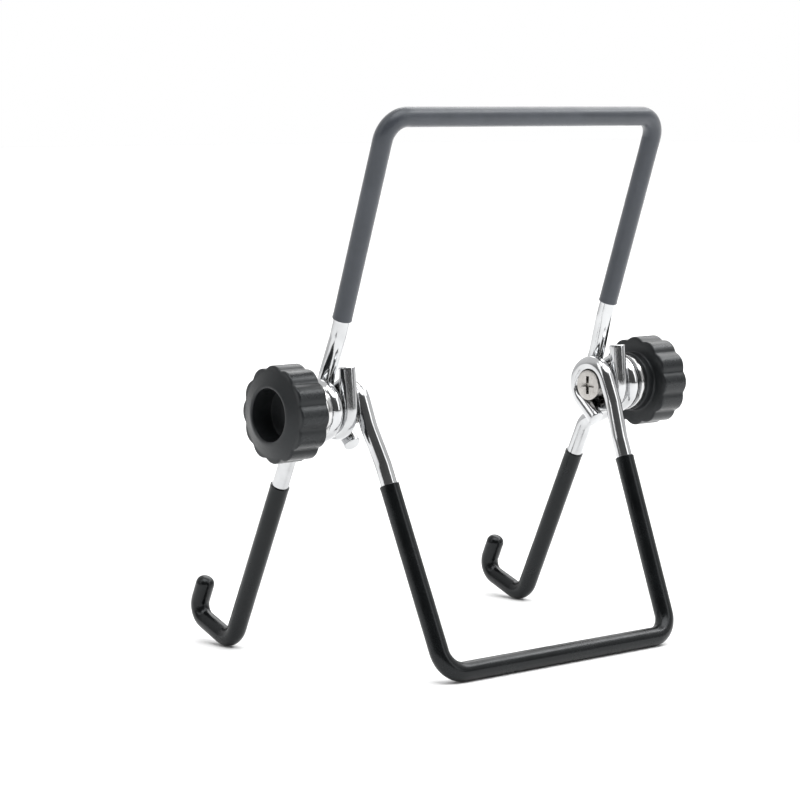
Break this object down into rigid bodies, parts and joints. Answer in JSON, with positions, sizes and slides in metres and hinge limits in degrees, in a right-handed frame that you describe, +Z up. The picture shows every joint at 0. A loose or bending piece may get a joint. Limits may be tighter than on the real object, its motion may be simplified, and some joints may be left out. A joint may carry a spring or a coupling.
{
  "type": "phone stand",
  "caption": "Folding bent-wire easel for a phone: an upper frame, a rear leg and hooks turn on clamp bolts with lobed knobs.",
  "frame": {"origin": "on the surface that the stand rests on, under the centre of its outline", "axes": "+X to the user's right along the clamp bolts, +Y to the back, +Z up"},
  "size_m": [0.1168, 0.0767, 0.1207],
  "materials": {
    "wire": "bright nickel plating on steel wire",
    "sleeve": "satin black soft vinyl sleeve",
    "upper_sleeve": "satin slate-grey soft vinyl sleeve",
    "bolt": "bright zinc plating",
    "washer": "bright zinc plating",
    "nut": "turned and plated",
    "knob": "moulded, satin"
  },
  "bodies": {
    "upper_frame": {"upper_frame_wire": "wire", "upper_frame_sleeve": "upper_sleeve", "left_clamp_bolt": "bolt", "right_clamp_bolt": "bolt"},
    "rear_leg": {"rear_leg_wire": "wire", "rear_leg_sleeve": "sleeve"},
    "left_hook": {"left_hook_wire": "wire", "left_hook_sleeve": "sleeve"},
    "left_washer": {"left_flat_washer": "washer"},
    "left_knob": {"left_knob": "knob", "left_knob_nut": "nut"},
    "right_hook": {"right_hook_wire": "wire", "right_hook_sleeve": "sleeve"},
    "right_washer": {"right_flat_washer": "washer"},
    "right_knob": {"right_knob": "knob", "right_knob_nut": "nut"}
  },
  "joints": [
    {"name": "rear_leg_fold", "type": "hinge", "parent": "upper_frame", "child": "rear_leg", "pos_m": [0, 0.00789, 0.0563], "axis": [1, 0, 0], "range_deg": [-219, 134]},
    {"name": "left_hook_fold", "type": "hinge", "parent": "upper_frame", "child": "left_hook", "pos_m": [-0.04445, 0.00789, 0.0563], "axis": [1, 0, 0], "continuous": true},
    {"name": "left_clamp_travel", "type": "slide", "parent": "upper_frame", "child": "left_washer", "axis": [-1, 0, 0], "range_m": [0, 0.002]},
    {"name": "left_knob_turn", "type": "hinge", "parent": "left_washer", "child": "left_knob", "pos_m": [-0.052, 0.00789, 0.0563], "axis": [-1, 0, 0], "range_deg": [0, 730]},
    {"name": "right_hook_fold", "type": "hinge", "parent": "upper_frame", "child": "right_hook", "pos_m": [0.04445, 0.00789, 0.0563], "axis": [1, 0, 0], "continuous": true},
    {"name": "right_clamp_travel", "type": "slide", "parent": "upper_frame", "child": "right_washer", "axis": [1, 0, 0], "range_m": [0, 0.002]},
    {"name": "right_knob_turn", "type": "hinge", "parent": "right_washer", "child": "right_knob", "pos_m": [0.052, 0.00789, 0.0563], "axis": [1, 0, 0], "range_deg": [0, 730]}
  ],
  "couplings": [
    {"joint": "left_knob_turn", "follows": "left_clamp_travel", "rad_per_m": 6283.2},
    {"joint": "right_knob_turn", "follows": "right_clamp_travel", "rad_per_m": 6283.2}
  ]
}
